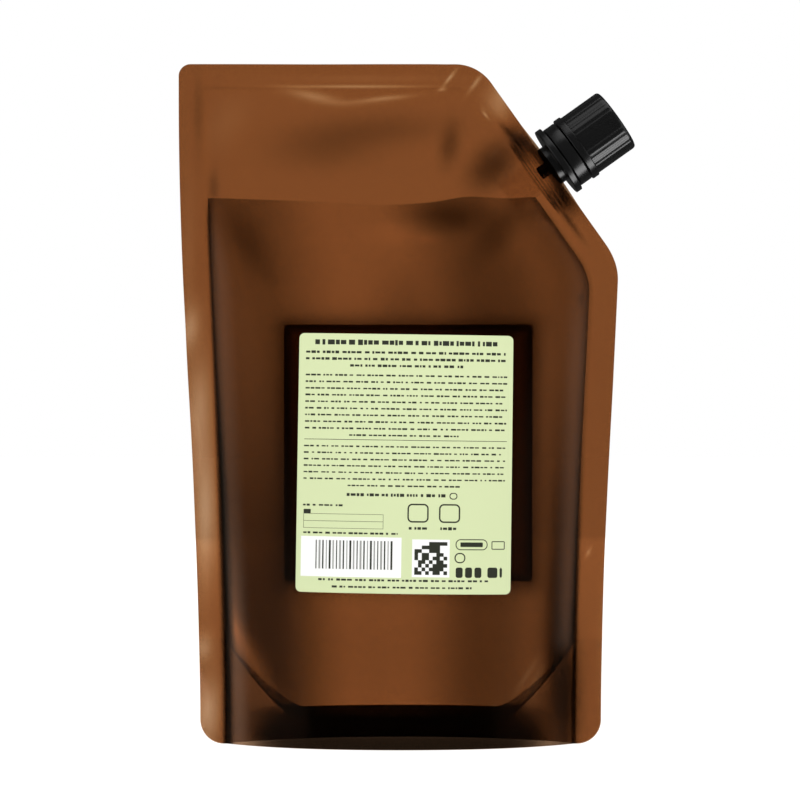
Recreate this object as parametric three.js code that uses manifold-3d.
// A stand-up refill pouch for liquid hand soap. Two film panels and a folded bottom gusset are
// welded round their edges, and a moulded spout is welded into the slanted corner. A tamper band
// and a ribbed screw cap sit on the spout, and each panel carries a label.
// Millimetres, +Z up. The panel with the taller label faces -Y, and the cap points up to +X.
// The origin is on the standing surface, below the centre of the pack's box.

import * as THREE from "three";
import { mergeVertices } from "three/addons/utils/BufferGeometryUtils.js";
import Module from "manifold-3d";

// Pouch outline, as the flat film is cut
const POUCH_WIDTH = 148.6;
const POUCH_HEIGHT = 227.5;
const TOP_SEAL = 8;
const SIDE_SEAL = 8.4;
const SLANT_SEAL = 9.4;
const CORNER_CUT = 48.4; // width that the slanted edge takes off the top edge
const SPOUT_ANGLE = THREE.MathUtils.degToRad(35.4); // spout above the horizontal
const TOP_CORNER_RADIUS = 4;
const CUT_CORNER_RADIUS = 15;
const SHOULDER_BLEND = 4.8;
const BASE_CORNER_RADIUS = 8;

// Filled shape
const BASE_HALF_DEPTH = 24;
const DEPTH_POWER = 1.15;
const FULLNESS = 0.35;
const NARROWING = 0.0125; // half width lost for each square mm of half depth: film doesn't stretch
const HEADSPACE = 37.5; // from the soap's level up to the top seal

// Film, gusset and labels
const FILM = 0.25;
const GAP = 0.3; // between welded pieces
const FILM_CLEARANCE = 0.45; // between a curved panel and the soap, gusset or label on it
const SKIRT_HEIGHT = 11;
const GUSSET_RISE = 35;
const GUSSET_FLAT_SHARE = 0.56; // share of the half width where the skirt keeps its lowest height
const GUSSET_RISE_POWER = 1.4;
const GUSSET_SAG = 5;
const LABEL = 0.2;
const LABEL_CORNER_RADIUS = 1.7;
const BACK_LABEL = { x: 1.4, z: 94, width: 71, height: 85.5, tilt: THREE.MathUtils.degToRad(-0.8) };
const FRONT_LABEL = { x: 2.6, z: 97, width: 84, height: 87, tilt: 0 };

// Spout, along its own axis from the underside of the flange
const SPOUT_ALONG_EDGE = 42; // from where the slanted edge would meet the top edge
const FILM_EDGE_BELOW_FLANGE = 2.2;
const FLANGE_RADIUS = 12.3;
const FLANGE_THICKNESS = 2.2;
const BOAT_HALF_LENGTH = 15;
const BOAT_TOP = -2.4;
const BOAT_BOTTOM = -9.4;
const BOAT_END_THICKNESS = 0.6;
const BOAT_POWER = 1.7;
const SLEEVE_CLEARANCE = 0.8; // between the boat and the film wrapped round it
const SLEEVE_FULL_TO = -14;
const SLEEVE_ENDS_AT = -48;
const WELD_RIBS = 4;
const WELD_RIB_DEPTH = 0.35;
const STUB_RADIUS = 5.7;
const STUB_WALL = 1.1;
const STUB_BOTTOM = -20;
const BORE_RADIUS = 5.8;
const NECK_WALL = 1.8;
const PIPE_WALL = 1.1;
const BEAD_WIDTH = 1.1; // that the bead stands out from the neck, over which the tamper band snaps
const BEAD_ABOVE_BAND = 0.8;
const BEAD_HEIGHT = 1.2;

// Tamper band and cap
const BAND_HEIGHT = 4.2;
const RUNNING_GAP = 0.4; // between the neck, the band, the cap and the plug
const NECK_END_GAP = 0.5; // between the neck's end and the cap's inside
const CAP_LENGTH = 17.8;
const CAP_WALL = 1.65;
const CAP_TOP_WALL = 1.6;
const COLLAR_STEP = 0.55; // that the collar stands out from the ribs
const COLLAR_HEIGHT = 2.5;
const RIB_COUNT = 36;
const RIB_HEIGHT = 0.4;
const RIB_FOOT_SHARE = 0.6; // of the pitch, at the rib's foot
const RIB_CREST_SHARE = 0.36; // of the pitch, along the rib's crest
const RIB_ROOT_DEPTH = 0.1; // of the rib's foot inside the cap's wall
const CAP_EDGE_ROUND = 0.9;
const PLUG_WALL = 1.1;
const PLUG_DEPTH = 2;

// How finely curved surfaces are divided
const ROUND_SEGMENTS = 40;
const FILM_COLUMNS = 26;
const ARC_ROWS = 4;
const BODY_ROW_STEP = 14;
const SLANT_ROW_STEP = 5;
const GUSSET_STEPS = 5;
const LABEL_COLUMNS = 10;
const LABEL_ROWS = 12;
const BOAT_POINTS = 17;
const MERGE_DISTANCE = 1e-4;
const NARROWEST_STRIP = 1; // of film, between two columns or rows
const OVERRUN = 1; // how far a cutting body runs past the face that it cuts, or one body into its neighbour

const wasm = await Module();
wasm.setup();

const { clamp, lerp, smoothstep } = THREE.MathUtils;

// A smooth maximum: the larger of a and b, rounded over a difference of k.
function smoothMax(a, b, k) {
  const near = Math.max(k - Math.abs(a - b), 0) / k;
  return Math.max(a, b) + (near * near * k) / 4;
}

function range(from, to, count) {
  return Array.from({ length: count }, (_, i) => lerp(from, to, i / (count - 1)));
}

// Outline of the filled pouch, seen square on. x is counted from the centre line of the flat film.

const CUT_X = POUCH_WIDTH / 2 - CORNER_CUT;
const EDGE_DROP = 1 / Math.tan(SPOUT_ANGLE); // fall of the slanted edge for each mm to the right
const CUT_TANGENT = CUT_CORNER_RADIUS * Math.tan((Math.PI / 2 - SPOUT_ANGLE) / 2);
const INNER_TOP = POUCH_HEIGHT - TOP_SEAL;
const FILL_LEVEL = INNER_TOP - HEADSPACE;

// Half the depth of the filled pouch at its centre line.
function halfDepth(z) {
  const share = clamp(z / INNER_TOP, 0, 1);
  return BASE_HALF_DEPTH * (1 - share * share) ** DEPTH_POWER;
}

function sideHalfWidth(z) {
  return POUCH_WIDTH / 2 - NARROWING * halfDepth(z) ** 2;
}

// How far a quarter round of this radius draws in at a height above its lowest point.
function cornerInset(height, radius) {
  const below = clamp(radius - height, 0, radius);
  return radius - Math.sqrt(radius * radius - below * below);
}

function slantX(z) {
  return CUT_X + (POUCH_HEIGHT - z) / EDGE_DROP;
}

// The base corners are cut from the side seals, so they stay a little narrower than the seals.
function baseInset(z) {
  return cornerInset(z, Math.min(BASE_CORNER_RADIUS, SIDE_SEAL - GAP));
}

function leftEdge(z) {
  return -sideHalfWidth(z) + cornerInset(POUCH_HEIGHT - z, TOP_CORNER_RADIUS) + baseInset(z);
}

// The right edge is the side, blended into the slanted edge, which is rounded into the top edge.
function rightEdge(z) {
  const side = sideHalfWidth(z) - baseInset(z);
  const cornerStart = POUCH_HEIGHT - CUT_TANGENT * Math.cos(SPOUT_ANGLE);
  if (z < cornerStart) return -smoothMax(-side, -slantX(z), SHOULDER_BLEND);
  const rise = z - (POUCH_HEIGHT - CUT_CORNER_RADIUS);
  return CUT_X - CUT_TANGENT + Math.sqrt(Math.max(CUT_CORNER_RADIUS ** 2 - rise * rise, 0));
}

function leftSealEdge(z) {
  return -sideHalfWidth(z) + SIDE_SEAL;
}

function rightSealEdge(z) {
  const side = sideHalfWidth(z) - SIDE_SEAL;
  const slant = slantX(z) - SLANT_SEAL / Math.cos(SPOUT_ANGLE);
  return -smoothMax(-side, -slant, SHOULDER_BLEND);
}

// The spout's axis starts at the underside of its flange, over the slanted edge.
const SPOUT_DIRECTION = new THREE.Vector3(Math.cos(SPOUT_ANGLE), 0, Math.sin(SPOUT_ANGLE));
const SPOUT_ORIGIN = new THREE.Vector3(
  CUT_X + SPOUT_ALONG_EDGE * Math.sin(SPOUT_ANGLE),
  0,
  POUCH_HEIGHT - SPOUT_ALONG_EDGE * Math.cos(SPOUT_ANGLE),
).addScaledVector(SPOUT_DIRECTION, FILM_EDGE_BELOW_FLANGE);

// Distance along the spout's axis, and to the lower right of it.
function spoutCoordinates(x, z) {
  const dx = x - SPOUT_ORIGIN.x;
  const dz = z - SPOUT_ORIGIN.z;
  const { x: c, z: s } = SPOUT_DIRECTION;
  return { along: dx * c + dz * s, across: dx * s - dz * c };
}

// Half the thickness of the boat, which tapers to both ends by a power of the distance.
function boatHalfThickness(across) {
  const taper = 1 - Math.abs(across / BOAT_HALF_LENGTH) ** BOAT_POWER;
  return BOAT_END_THICKNESS + (PIPE_RADIUS - BOAT_END_THICKNESS) * taper;
}

const SLEEVE_ROUNDING = 1.5;

// The film stands off the boat and the stub, and falls back to the pouch further in.
function sleeveDepth(x, z) {
  const { along, across } = spoutCoordinates(x, z);
  const fade = smoothstep(along, SLEEVE_ENDS_AT, SLEEVE_FULL_TO);
  const wrap = smoothMax(boatHalfThickness(across) + SLEEVE_CLEARANCE, 0, SLEEVE_ROUNDING);
  return wrap * fade;
}

const LAYERS_CLOSE_OVER = 6; // height over which the seal closes above the gusset

// Half the room between the panels' inner faces. The gusset's two layers need more room low down.
function panelDepth(x, z) {
  const left = leftSealEdge(z);
  const right = rightSealEdge(z);
  const share = clamp((2 * x - left - right) / (right - left), -1, 1) ** 2;
  const pillow = halfDepth(z) * (1 - share) * (1 + FULLNESS * share);
  const closing = smoothstep(z, GUSSET_RISE, GUSSET_RISE + LAYERS_CLOSE_OVER);
  const layers = (FILM + FILM_CLEARANCE) * (1 - closing);
  const rounded = Math.cbrt(pillow ** 3 + sleeveDepth(x, z) ** 3);
  return Math.max(GAP / 2 + layers, rounded);
}

// Heights of the film's rows: close together round the corners, and beside the spout.
function filmRows() {
  const low = range(0, 1, ARC_ROWS + 1).map((t) => BASE_CORNER_RADIUS * (1 - Math.cos((t * Math.PI) / 2)));
  const high = range(0, 1, ARC_ROWS + 1).map(
    (t) => POUCH_HEIGHT - TOP_CORNER_RADIUS * (1 - Math.sin((t * Math.PI) / 2)),
  );
  const slantFoot = POUCH_HEIGHT - (POUCH_WIDTH / 2 - CUT_X) * EDGE_DROP;
  const bodySteps = Math.ceil((slantFoot - BASE_CORNER_RADIUS) / BODY_ROW_STEP);
  const body = range(BASE_CORNER_RADIUS, slantFoot, bodySteps + 1).slice(1, -1);
  const toLevel = range(slantFoot, FILL_LEVEL, Math.ceil((FILL_LEVEL - slantFoot) / SLANT_ROW_STEP) + 1);
  const slantTop = POUCH_HEIGHT - TOP_CORNER_RADIUS;
  const aboveSteps = Math.ceil((slantTop - FILL_LEVEL) / SLANT_ROW_STEP);
  const above = range(FILL_LEVEL, slantTop, aboveSteps + 1).slice(1, -1);
  return [...low, ...body, ...toLevel, ...above, ...high];
}

// x of each column of film at one height: the outer edges, and the room between the seals.
function filmColumns(z) {
  const left = leftSealEdge(z);
  const right = Math.max(rightSealEdge(z), left + NARROWEST_STRIP);
  const inner = range(0, 1, FILM_COLUMNS + 1).map((t) =>
    lerp(left, right, (1 - Math.cos(t * Math.PI)) / 2),
  );
  return [leftEdge(z), ...inner, Math.max(rightEdge(z), right + NARROWEST_STRIP)];
}

// Meshes

function geometryFrom(positions, indices) {
  const geometry = new THREE.BufferGeometry();
  geometry.setAttribute("position", new THREE.Float32BufferAttribute(positions.flat(), 3));
  geometry.setIndex(indices);
  return geometry;
}

// A closed sheet between two grids of points with rows going up and columns to +X. The near grid
// faces -Y.
function closedSheet(near, far) {
  const rows = near.length;
  const columns = near[0].length;
  const at = (grid, i, j) => grid * rows * columns + i * columns + j;
  const indices = [];
  const quad = (a, b, c, d) => indices.push(a, b, c, a, c, d);
  for (let i = 0; i < rows - 1; i++)
    for (let j = 0; j < columns - 1; j++) {
      quad(at(0, i, j), at(0, i, j + 1), at(0, i + 1, j + 1), at(0, i + 1, j));
      quad(at(1, i, j), at(1, i + 1, j), at(1, i + 1, j + 1), at(1, i, j + 1));
    }
  const last = columns - 1;
  for (let i = 0; i < rows - 1; i++) {
    quad(at(0, i, 0), at(0, i + 1, 0), at(1, i + 1, 0), at(1, i, 0));
    quad(at(0, i, last), at(1, i, last), at(1, i + 1, last), at(0, i + 1, last));
  }
  for (let j = 0; j < columns - 1; j++) {
    quad(at(0, 0, j), at(1, 0, j), at(1, 0, j + 1), at(0, 0, j + 1));
    quad(at(0, rows - 1, j), at(0, rows - 1, j + 1), at(1, rows - 1, j + 1), at(1, rows - 1, j));
  }
  return geometryFrom([...near.flat(), ...far.flat()], indices);
}

function toSolid(geometry) {
  const bare = new THREE.BufferGeometry();
  bare.setAttribute("position", geometry.getAttribute("position"));
  if (geometry.index) bare.setIndex(geometry.index);
  const merged = mergeVertices(bare, MERGE_DISTANCE);
  return new wasm.Manifold(
    new wasm.Mesh({
      numProp: 3,
      vertProperties: new Float32Array(merged.attributes.position.array),
      triVerts: new Uint32Array(merged.index.array),
    }),
  );
}

function toGeometry(solid) {
  const { numProp, vertProperties, triVerts } = solid.getMesh();
  const positions = [];
  for (let i = 0; i < vertProperties.length; i += numProp)
    positions.push([...vertProperties.slice(i, i + 3)]);
  return geometryFrom(positions, [...triVerts]);
}

// A body turned about +Z from [radius, height] points, listed anticlockwise round its section.
function turned(profile) {
  const points = profile.map(([radius, height]) => new THREE.Vector2(radius, height));
  points.push(points[0].clone());
  return new THREE.LatheGeometry(points, ROUND_SEGMENTS).rotateX(Math.PI / 2);
}

function named(name, geometry, material) {
  const mesh = new THREE.Mesh(geometry, material);
  mesh.name = name;
  return mesh;
}

// Panels

// One panel: side is -1 for the back, which faces -Y, and 1 for the front.
function panelGeometry(side) {
  const grid = (offset) =>
    filmRows().map((z) => filmColumns(z).map((x) => [x, side * (panelDepth(x, z) + offset), z]));
  return side < 0 ? closedSheet(grid(FILM), grid(0)) : closedSheet(grid(0), grid(FILM));
}

// Gusset

// Height of the seal where the gusset leaves the panels: flat at the middle, rising to the sides.
function gussetSealHeight(share) {
  const rise = clamp((Math.abs(share) - GUSSET_FLAT_SHARE) / (1 - GUSSET_FLAT_SHARE), 0, 1);
  return lerp(SKIRT_HEIGHT, GUSSET_RISE, rise ** GUSSET_RISE_POWER);
}

// The gusset's section at one column of film: up the back skirt, over the fold, down the front.
function gussetSection(column, inset) {
  const shares = [-1, ...range(0, 1, FILM_COLUMNS + 1).map((t) => -Math.cos(t * Math.PI)), 1];
  const sealHeight = gussetSealHeight(shares[column]);
  const low = filmRows().filter((z) => z < SKIRT_HEIGHT - NARROWEST_STRIP);
  const lowTop = low[low.length - 1];
  const heights = [...low, ...range(lowTop, sealHeight, GUSSET_STEPS).slice(1)];
  const skirt = heights.map((z, i) => {
    const x = filmColumns(z)[column];
    const last = i === heights.length - 1;
    return [x, -(panelDepth(x, z) - FILM_CLEARANCE - inset), last ? z - inset : z];
  });
  const [sealX, sealY, sealZ] = skirt[skirt.length - 1];
  const sag = (GUSSET_SAG * -sealY) / BASE_HALF_DEPTH;
  const fold = range(-1, 1, 2 * GUSSET_STEPS + 1)
    .slice(1, -1)
    .map((t) => [sealX, -sealY * t, sealZ - sag * (1 - t * t)]);
  const front = skirt.map(([x, y, z]) => [x, -y, z]).reverse();
  return [...skirt, ...fold, ...front];
}

function gussetGrid(inset) {
  const sections = range(0, FILM_COLUMNS + 2, FILM_COLUMNS + 3).map((j) => gussetSection(j, inset));
  return sections[0].map((_, i) => sections.map((section) => section[i]));
}

function gussetGeometry() {
  return closedSheet(gussetGrid(0), gussetGrid(FILM));
}

// Soap

// The space under the soap: everything below the gusset's fold, and the clearance above it.
function underGusset() {
  const reach = BASE_HALF_DEPTH * 2;
  const top = gussetGrid(0)
    .filter((_, i, all) => i >= all.length / 2 - GUSSET_STEPS - 1 && i <= all.length / 2 + GUSSET_STEPS)
    .map((row) => row.map(([x, y, z]) => [x, y, z + GAP]));
  const out = (row, y) => row.map(([x, , z]) => [x, y, z]);
  const upper = [out(top[0], -reach), ...top, out(top[top.length - 1], reach)];
  const lower = upper.map((row) => row.map(([x, y]) => [x, y, -reach]));
  return closedSheet(upper, lower);
}

const SOAP_EDGE_SHARE = 0.96;

// The soap fills the panels up to its level, clear of the seals, the gusset and the spout's stub.
function soapGeometry() {
  const rows = filmRows().filter((z) => z > BASE_CORNER_RADIUS / 2 && z <= FILL_LEVEL);
  const shares = range(0, 1, FILM_COLUMNS + 1)
    .map((t) => -Math.cos(t * Math.PI))
    .filter((share) => Math.abs(share) < SOAP_EDGE_SHARE);
  const grid = (side) =>
    rows.map((z) =>
      shares.map((share) => {
        const x = lerp(leftSealEdge(z), rightSealEdge(z), (1 + share) / 2);
        return [x, side * (panelDepth(x, z) - FILM_CLEARANCE), z];
      }),
    );
  const whole = toSolid(closedSheet(grid(-1), grid(1)));
  const stub = turned([
    [0, STUB_BOTTOM - GAP],
    [STUB_RADIUS + GAP, STUB_BOTTOM - GAP],
    [STUB_RADIUS + GAP, 0],
    [0, 0],
  ]);
  stub.rotateY(Math.PI / 2 - SPOUT_ANGLE).translate(...SPOUT_ORIGIN);
  return toGeometry(whole.subtract(toSolid(underGusset())).subtract(toSolid(stub)));
}

// Labels

// A label follows the film of its panel, a clearance away from it.
function labelGeometry(side, { x: midX, z: midZ, width, height, tilt }) {
  const rows = range(0, 1, LABEL_ROWS + 1).map((t) => (1 - Math.cos(t * Math.PI)) / 2);
  const insetAt = (rise) => cornerInset(rise, LABEL_CORNER_RADIUS);
  const grid = (offset) =>
    rows.map((v) => {
      const up = height * (v - 0.5);
      const inset = insetAt(height * v) + insetAt(height * (1 - v));
      return range(-1, 1, LABEL_COLUMNS + 1).map((u) => {
        const across = u * (width / 2 - inset);
        const x = midX + across * Math.cos(tilt) - up * Math.sin(tilt);
        const z = midZ + up * Math.cos(tilt) + across * Math.sin(tilt);
        return [x, side * (panelDepth(x, z) + FILM + FILM_CLEARANCE + offset), z];
      });
    });
  return side < 0 ? closedSheet(grid(LABEL), grid(0)) : closedSheet(grid(0), grid(LABEL));
}

// Spout: every body below is made about +Z, which the spout's group turns to its axis.

// A slice of the boat, with its long side along X.
function boatSlice(bottom, top, inset) {
  const shape = new THREE.Shape();
  const ends = range(-BOAT_HALF_LENGTH, BOAT_HALF_LENGTH, BOAT_POINTS);
  const side = (sign) => (v) => new THREE.Vector2(v, sign * (boatHalfThickness(v) - inset));
  shape.setFromPoints([...ends.map(side(-1)), ...ends.reverse().map(side(1))]);
  const slice = new THREE.ExtrudeGeometry(shape, { depth: top - bottom, bevelEnabled: false });
  return toSolid(slice.translate(0, 0, bottom));
}

function boatSolid() {
  const pitch = (BOAT_TOP - BOAT_BOTTOM) / WELD_RIBS;
  let boat = boatSlice(BOAT_BOTTOM, BOAT_TOP, WELD_RIB_DEPTH);
  for (let i = 0; i < WELD_RIBS; i++) {
    const bottom = BOAT_BOTTOM + i * pitch;
    boat = boat.add(boatSlice(bottom, bottom + pitch / 2, 0));
  }
  return boat;
}

// Along the spout's axis: flange, band, cap. The neck ends just under the cap's ceiling.
const BAND_BOTTOM = FLANGE_THICKNESS + RUNNING_GAP;
const BAND_TOP = BAND_BOTTOM + BAND_HEIGHT;
const BEAD_BOTTOM = BAND_TOP + BEAD_ABOVE_BAND;
const CAP_BOTTOM = BAND_TOP + RUNNING_GAP;
const CAP_TOP = CAP_BOTTOM + CAP_LENGTH;
const CAP_CEILING = CAP_TOP - CAP_TOP_WALL;
const NECK_TOP = CAP_CEILING - NECK_END_GAP;

// Across the spout's axis: the pipe and the neck round the bore, the bead, and what runs over it.
const PIPE_RADIUS = BORE_RADIUS + PIPE_WALL;
const NECK_RADIUS = BORE_RADIUS + NECK_WALL;
const BEAD_RADIUS = NECK_RADIUS + BEAD_WIDTH;
const CAP_BORE_RADIUS = BEAD_RADIUS + RUNNING_GAP;
const CAP_BODY_RADIUS = CAP_BORE_RADIUS + CAP_WALL;
const BAND_RADIUS = CAP_BODY_RADIUS + RIB_HEIGHT;
const COLLAR_RADIUS = BAND_RADIUS + COLLAR_STEP;
const PLUG_RADIUS = BORE_RADIUS - RUNNING_GAP;
const STUB_BORE_RADIUS = STUB_RADIUS - STUB_WALL;

function spoutGeometry() {
  const body = turned([
    [0, STUB_BOTTOM],
    [STUB_RADIUS, STUB_BOTTOM],
    [STUB_RADIUS, BOAT_BOTTOM + OVERRUN],
    [PIPE_RADIUS, BOAT_BOTTOM + OVERRUN],
    [PIPE_RADIUS, 0],
    [FLANGE_RADIUS, 0],
    [FLANGE_RADIUS, FLANGE_THICKNESS],
    [NECK_RADIUS, FLANGE_THICKNESS],
    [NECK_RADIUS, BEAD_BOTTOM],
    [BEAD_RADIUS, BEAD_BOTTOM],
    [NECK_RADIUS, BEAD_BOTTOM + BEAD_HEIGHT],
    [NECK_RADIUS, NECK_TOP],
    [0, NECK_TOP],
  ]);
  const bore = turned([
    [0, STUB_BOTTOM - OVERRUN],
    [STUB_BORE_RADIUS, STUB_BOTTOM - OVERRUN],
    [STUB_BORE_RADIUS, BOAT_BOTTOM],
    [BORE_RADIUS, BOAT_TOP],
    [BORE_RADIUS, NECK_TOP + OVERRUN],
    [0, NECK_TOP + OVERRUN],
  ]);
  return toGeometry(toSolid(body).add(boatSolid()).subtract(toSolid(bore)));
}

function bandGeometry() {
  return turned([
    [CAP_BORE_RADIUS, BAND_BOTTOM],
    [BAND_RADIUS, BAND_BOTTOM],
    [BAND_RADIUS, BAND_TOP],
    [CAP_BORE_RADIUS, BAND_TOP],
  ]);
}

// The ribbed grip: an outline that steps out over half of each pitch.
function gripSolid() {
  const shape = new THREE.Shape();
  const pitch = (2 * Math.PI) / RIB_COUNT;
  const foot = (RIB_FOOT_SHARE * pitch) / 2;
  const crest = (RIB_CREST_SHARE * pitch) / 2;
  const root = CAP_BODY_RADIUS - RIB_ROOT_DEPTH;
  const corners = [];
  for (let i = 0; i < RIB_COUNT; i++) {
    const middle = i * pitch;
    corners.push([root, middle - foot], [BAND_RADIUS, middle - crest]);
    corners.push([BAND_RADIUS, middle + crest], [root, middle + foot]);
  }
  shape.setFromPoints(corners.map(([r, a]) => new THREE.Vector2(r * Math.cos(a), r * Math.sin(a))));
  const depth = CAP_TOP - CAP_EDGE_ROUND - CAP_BOTTOM - COLLAR_HEIGHT + OVERRUN;
  const grip = new THREE.ExtrudeGeometry(shape, { depth, bevelEnabled: false });
  return toSolid(grip.translate(0, 0, CAP_BOTTOM + COLLAR_HEIGHT - OVERRUN));
}

function capGeometry() {
  const edgeMid = CAP_EDGE_ROUND * (1 - Math.SQRT1_2); // inset of the rounded edge's middle
  const outside = turned([
    [0, CAP_BOTTOM],
    [COLLAR_RADIUS, CAP_BOTTOM],
    [COLLAR_RADIUS, CAP_BOTTOM + COLLAR_HEIGHT],
    [CAP_BODY_RADIUS, CAP_BOTTOM + COLLAR_HEIGHT],
    [CAP_BODY_RADIUS, CAP_TOP - CAP_EDGE_ROUND],
    [CAP_BODY_RADIUS - edgeMid, CAP_TOP - edgeMid],
    [CAP_BODY_RADIUS - CAP_EDGE_ROUND, CAP_TOP],
    [0, CAP_TOP],
  ]);
  const inside = turned([
    [0, CAP_BOTTOM - OVERRUN],
    [CAP_BORE_RADIUS, CAP_BOTTOM - OVERRUN],
    [CAP_BORE_RADIUS, CAP_CEILING],
    [0, CAP_CEILING],
  ]);
  const plug = turned([
    [PLUG_RADIUS - PLUG_WALL, CAP_CEILING - PLUG_DEPTH],
    [PLUG_RADIUS, CAP_CEILING - PLUG_DEPTH],
    [PLUG_RADIUS, CAP_CEILING + CAP_TOP_WALL / 2],
    [PLUG_RADIUS - PLUG_WALL, CAP_CEILING + CAP_TOP_WALL / 2],
  ]);
  return toGeometry(toSolid(outside).add(gripSolid()).subtract(toSolid(inside)).add(toSolid(plug)));
}

// Materials

function finish(color, roughness) {
  return new THREE.MeshStandardMaterial({ color, roughness, metalness: 0 });
}

const filmMaterial = () => finish(0x8a4d2b, 0.3);
const paperMaterial = () => finish(0xcfdbaa, 0.6);
const plasticMaterial = () => finish(0x131313, 0.4);
const soapMaterial = () => finish(0x6f3e22, 0.1);

function buildPack() {
  const spoutGroup = new THREE.Group();
  spoutGroup.position.copy(SPOUT_ORIGIN);
  spoutGroup.rotation.y = Math.PI / 2 - SPOUT_ANGLE;
  spoutGroup.add(
    named("spout", spoutGeometry(), plasticMaterial()),
    named("tamper_band", bandGeometry(), plasticMaterial()),
    named("screw_cap", capGeometry(), plasticMaterial()),
  );
  const pouch = new THREE.Group();
  pouch.add(
    named("back_film", panelGeometry(-1), filmMaterial()),
    named("front_film", panelGeometry(1), filmMaterial()),
    named("bottom_gusset", gussetGeometry(), filmMaterial()),
    named("liquid_soap", soapGeometry(), soapMaterial()),
    named("back_label", labelGeometry(-1, BACK_LABEL), paperMaterial()),
    named("front_label", labelGeometry(1, FRONT_LABEL), paperMaterial()),
    spoutGroup,
  );
  const box = new THREE.Box3().setFromObject(pouch, true);
  pouch.position.x = -(box.min.x + box.max.x) / 2;
  const pack = new THREE.Group();
  pack.add(pouch);
  return pack;
}

export default buildPack();
